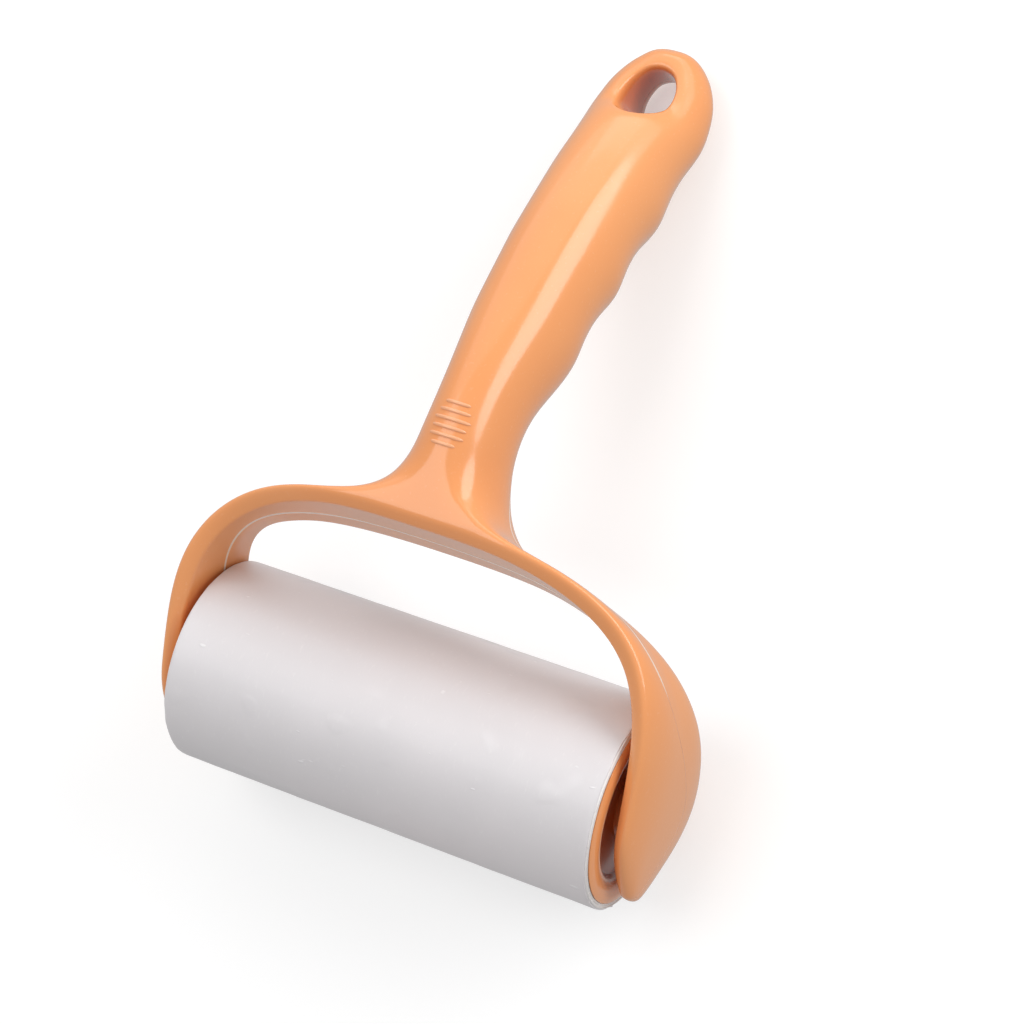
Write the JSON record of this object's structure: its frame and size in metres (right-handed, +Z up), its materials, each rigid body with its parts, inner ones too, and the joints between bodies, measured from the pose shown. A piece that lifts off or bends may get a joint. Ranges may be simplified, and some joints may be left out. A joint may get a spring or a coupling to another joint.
{
  "type": "lint roller",
  "caption": "Hand lint roller: a glossy moulded yoke handle with a hang hole and thumb ribs, carrying a freely turning roll of white adhesive paper.",
  "frame": {"origin": "middle of the bounding box seen from above, on the surface the roller lies on", "axes": "+X along the roll's axis, +Y from the roll towards the handle's tip, +Z up with the thumb ribs on top"},
  "size_m": [0.1174, 0.1799, 0.0595],
  "materials": {
    "orange_plastic": "glossy moulded",
    "natural_plastic": "smooth",
    "core_board": "rough cardboard",
    "paper": "adhesive coated paper"
  },
  "bodies": {
    "handle": {"front_shell": "orange_plastic", "rear_shell": "orange_plastic", "left_stub_axle": "natural_plastic", "right_stub_axle": "natural_plastic"},
    "roll": {"left_end_cap": "orange_plastic", "right_end_cap": "orange_plastic", "paper_core": "core_board", "adhesive_paper_roll": "paper", "outer_sheet": "paper"}
  },
  "joints": [
    {"name": "roll_spin", "type": "hinge", "parent": "handle", "child": "roll", "pos_m": [0, -0.0675, 0.0225], "axis": [1, 0, 0], "continuous": true}
  ]
}
